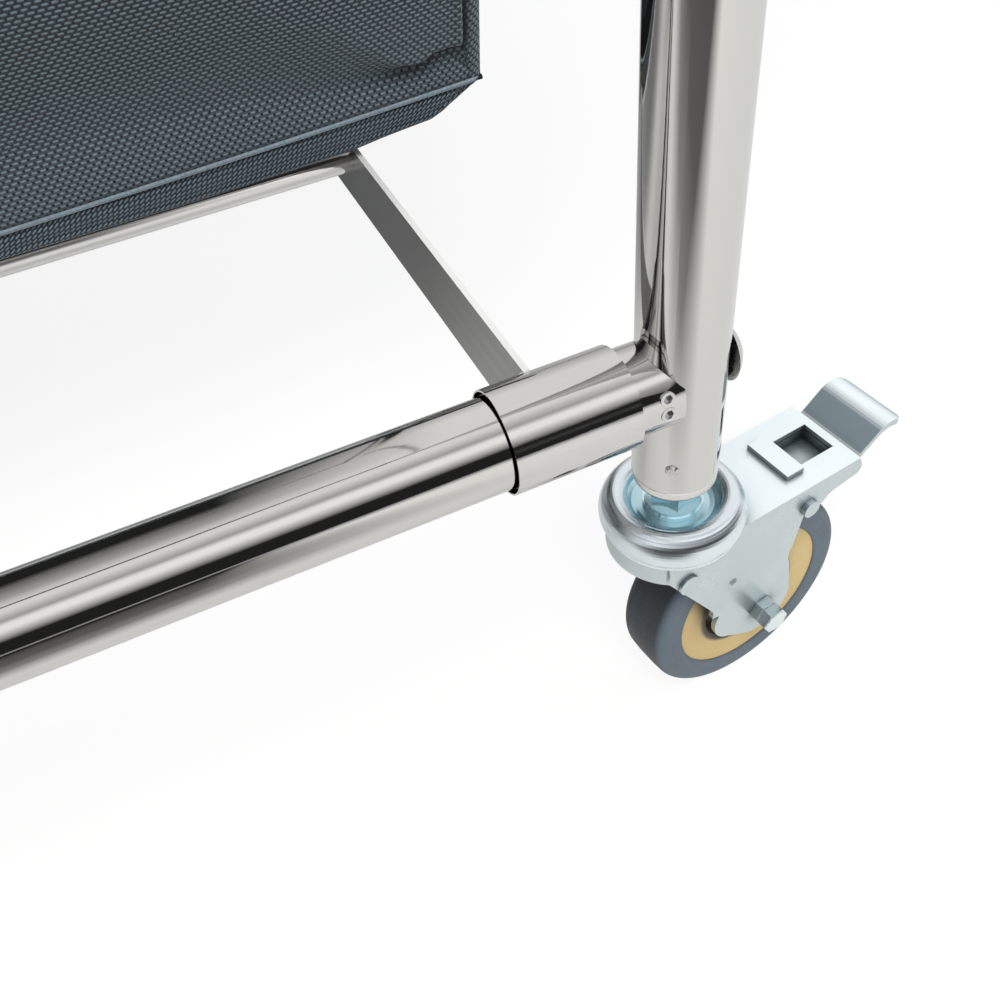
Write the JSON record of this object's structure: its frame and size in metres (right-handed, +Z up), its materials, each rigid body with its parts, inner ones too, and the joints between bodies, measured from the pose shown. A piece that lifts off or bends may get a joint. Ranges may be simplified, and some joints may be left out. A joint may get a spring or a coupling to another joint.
{
  "type": "folding laundry trolley",
  "caption": "Folding laundry trolley: chromed tube frames on braked swivel casters, hinged links and stays, and a tapered cloth bag hung from the top rails.",
  "frame": {"origin": "on the floor, under the middle of the trolley", "axes": "+X along the long side to the right, +Y from the near side to the far side, +Z up"},
  "size_m": [1.0234, 0.6586, 0.911],
  "materials": {
    "chrome_tube": "polished chrome",
    "chrome_fitting": "polished chrome casting",
    "fastener": "bright zinc",
    "plug": "turned end plug",
    "link_steel": "polished flat bar",
    "rod_steel": "polished rod",
    "blue_zinc": "blue bright zinc",
    "race_zinc": "bright zinc pressing",
    "fork_zinc": "zinc-plated pressing",
    "core_plastic": "tan moulded core",
    "tyre_rubber": "grey elastic tyre",
    "bag_cloth": "coarse slate-blue weave"
  },
  "bodies": {
    "near_frame": {"near_right_post": "chrome_tube", "near_left_post": "chrome_tube", "near_tube": "chrome_tube", "near_rail": "chrome_tube", "near_saddles": "chrome_fitting", "near_fasteners": "fastener", "near_plugs": "plug", "near_caps": "chrome_fitting", "near_balls": "fastener", "near_right_stem": "blue_zinc", "near_left_stem": "blue_zinc", "near_right_race": "race_zinc", "near_left_race": "race_zinc", "bag_near_wall": "bag_cloth", "bag_right_end": "bag_cloth", "bag_left_end": "bag_cloth"},
    "near_link": {"near_arms": "link_steel", "near_rod": "rod_steel", "link_pins": "fastener", "bag_near_bottom": "bag_cloth"},
    "far_link": {"far_arms": "link_steel", "far_rod": "rod_steel", "bag_far_bottom": "bag_cloth"},
    "far_frame": {"far_right_post": "chrome_tube", "far_left_post": "chrome_tube", "far_tube": "chrome_tube", "far_rail": "chrome_tube", "far_saddles": "chrome_fitting", "far_fasteners": "fastener", "far_plugs": "plug", "far_caps": "chrome_fitting", "far_balls": "fastener", "far_right_stem": "blue_zinc", "far_left_stem": "blue_zinc", "far_right_race": "race_zinc", "far_left_race": "race_zinc", "bag_far_wall": "bag_cloth"},
    "near_stay": {"near_stays": "link_steel", "stay_centre_pins": "fastener"},
    "far_stay": {"far_stays": "link_steel"},
    "near_right_caster": {"near_right_fork": "fork_zinc", "near_right_axle": "blue_zinc"},
    "near_right_wheel": {"near_right_hub": "core_plastic", "near_right_tyre": "tyre_rubber"},
    "near_right_brake": {"near_right_pedal": "fork_zinc"},
    "near_left_caster": {"near_left_fork": "fork_zinc", "near_left_axle": "blue_zinc"},
    "near_left_wheel": {"near_left_hub": "core_plastic", "near_left_tyre": "tyre_rubber"},
    "near_left_brake": {"near_left_pedal": "fork_zinc"},
    "far_right_caster": {"far_right_fork": "fork_zinc", "far_right_axle": "blue_zinc"},
    "far_right_wheel": {"far_right_hub": "core_plastic", "far_right_tyre": "tyre_rubber"},
    "far_right_brake": {"far_right_pedal": "fork_zinc"},
    "far_left_caster": {"far_left_fork": "fork_zinc", "far_left_axle": "blue_zinc"},
    "far_left_wheel": {"far_left_hub": "core_plastic", "far_left_tyre": "tyre_rubber"},
    "far_left_brake": {"far_left_pedal": "fork_zinc"}
  },
  "joints": [
    {"name": "fold", "type": "hinge", "parent": "near_frame", "child": "near_link", "pos_m": [0, -0.3, 0.194], "axis": [1, 0, 0], "range_deg": [0, 70], "deforming": ["bag_near_wall", "bag_far_wall", "bag_right_end", "bag_left_end", "bag_near_bottom", "bag_far_bottom"]},
    {"name": "middle_hinge", "type": "hinge", "parent": "near_link", "child": "far_link", "pos_m": [0, 0, 0.196], "axis": [1, 0, 0], "range_deg": [-140, 0]},
    {"name": "far_tube_hinge", "type": "hinge", "parent": "far_link", "child": "far_frame", "pos_m": [0, 0.3, 0.194], "axis": [1, 0, 0], "range_deg": [0, 70]},
    {"name": "near_stay_hinge", "type": "hinge", "parent": "near_frame", "child": "near_stay", "pos_m": [0, -0.3, 0.84], "axis": [1, 0, 0], "range_deg": [-70, 0]},
    {"name": "stay_middle_hinge", "type": "hinge", "parent": "near_stay", "child": "far_stay", "pos_m": [0, 0, 0.838], "axis": [1, 0, 0], "range_deg": [0, 140]},
    {"name": "near_right_swivel", "type": "hinge", "parent": "near_frame", "child": "near_right_caster", "pos_m": [0.4, -0.3, 0.1175], "axis": [0, 0, 1], "continuous": true},
    {"name": "near_right_roll", "type": "hinge", "parent": "near_right_caster", "child": "near_right_wheel", "pos_m": [0.43705, -0.29486, 0.052], "axis": [-0.1374, 0.9905, 0], "continuous": true},
    {"name": "near_right_press", "type": "hinge", "parent": "near_right_caster", "child": "near_right_brake", "pos_m": [0.45587, -0.29225, 0.1058], "axis": [-0.1374, 0.9905, 0], "range_deg": [0, 8]},
    {"name": "near_left_swivel", "type": "hinge", "parent": "near_frame", "child": "near_left_caster", "pos_m": [-0.4, -0.3, 0.1175], "axis": [0, 0, 1], "continuous": true},
    {"name": "near_left_roll", "type": "hinge", "parent": "near_left_caster", "child": "near_left_wheel", "pos_m": [-0.43705, -0.29486, 0.052], "axis": [-0.1374, -0.9905, 0], "continuous": true},
    {"name": "near_left_press", "type": "hinge", "parent": "near_left_caster", "child": "near_left_brake", "pos_m": [-0.45587, -0.29225, 0.1058], "axis": [-0.1374, -0.9905, 0], "range_deg": [0, 8]},
    {"name": "far_right_swivel", "type": "hinge", "parent": "far_frame", "child": "far_right_caster", "pos_m": [0.4, 0.3, 0.1175], "axis": [0, 0, 1], "continuous": true},
    {"name": "far_right_roll", "type": "hinge", "parent": "far_right_caster", "child": "far_right_wheel", "pos_m": [0.43705, 0.29486, 0.052], "axis": [0.1374, 0.9905, 0], "continuous": true},
    {"name": "far_right_press", "type": "hinge", "parent": "far_right_caster", "child": "far_right_brake", "pos_m": [0.45587, 0.29225, 0.1058], "axis": [0.1374, 0.9905, 0], "range_deg": [0, 8]},
    {"name": "far_left_swivel", "type": "hinge", "parent": "far_frame", "child": "far_left_caster", "pos_m": [-0.4, 0.3, 0.1175], "axis": [0, 0, 1], "continuous": true},
    {"name": "far_left_roll", "type": "hinge", "parent": "far_left_caster", "child": "far_left_wheel", "pos_m": [-0.43705, 0.29486, 0.052], "axis": [0.1374, -0.9905, 0], "continuous": true},
    {"name": "far_left_press", "type": "hinge", "parent": "far_left_caster", "child": "far_left_brake", "pos_m": [-0.45587, 0.29225, 0.1058], "axis": [0.1374, -0.9905, 0], "range_deg": [0, 8]}
  ],
  "couplings": [
    {"joint": "middle_hinge", "follows": "fold", "ratio": -2},
    {"joint": "far_tube_hinge", "follows": "fold", "ratio": 1},
    {"joint": "near_stay_hinge", "follows": "fold", "ratio": -1},
    {"joint": "stay_middle_hinge", "follows": "fold", "ratio": 2}
  ]
}
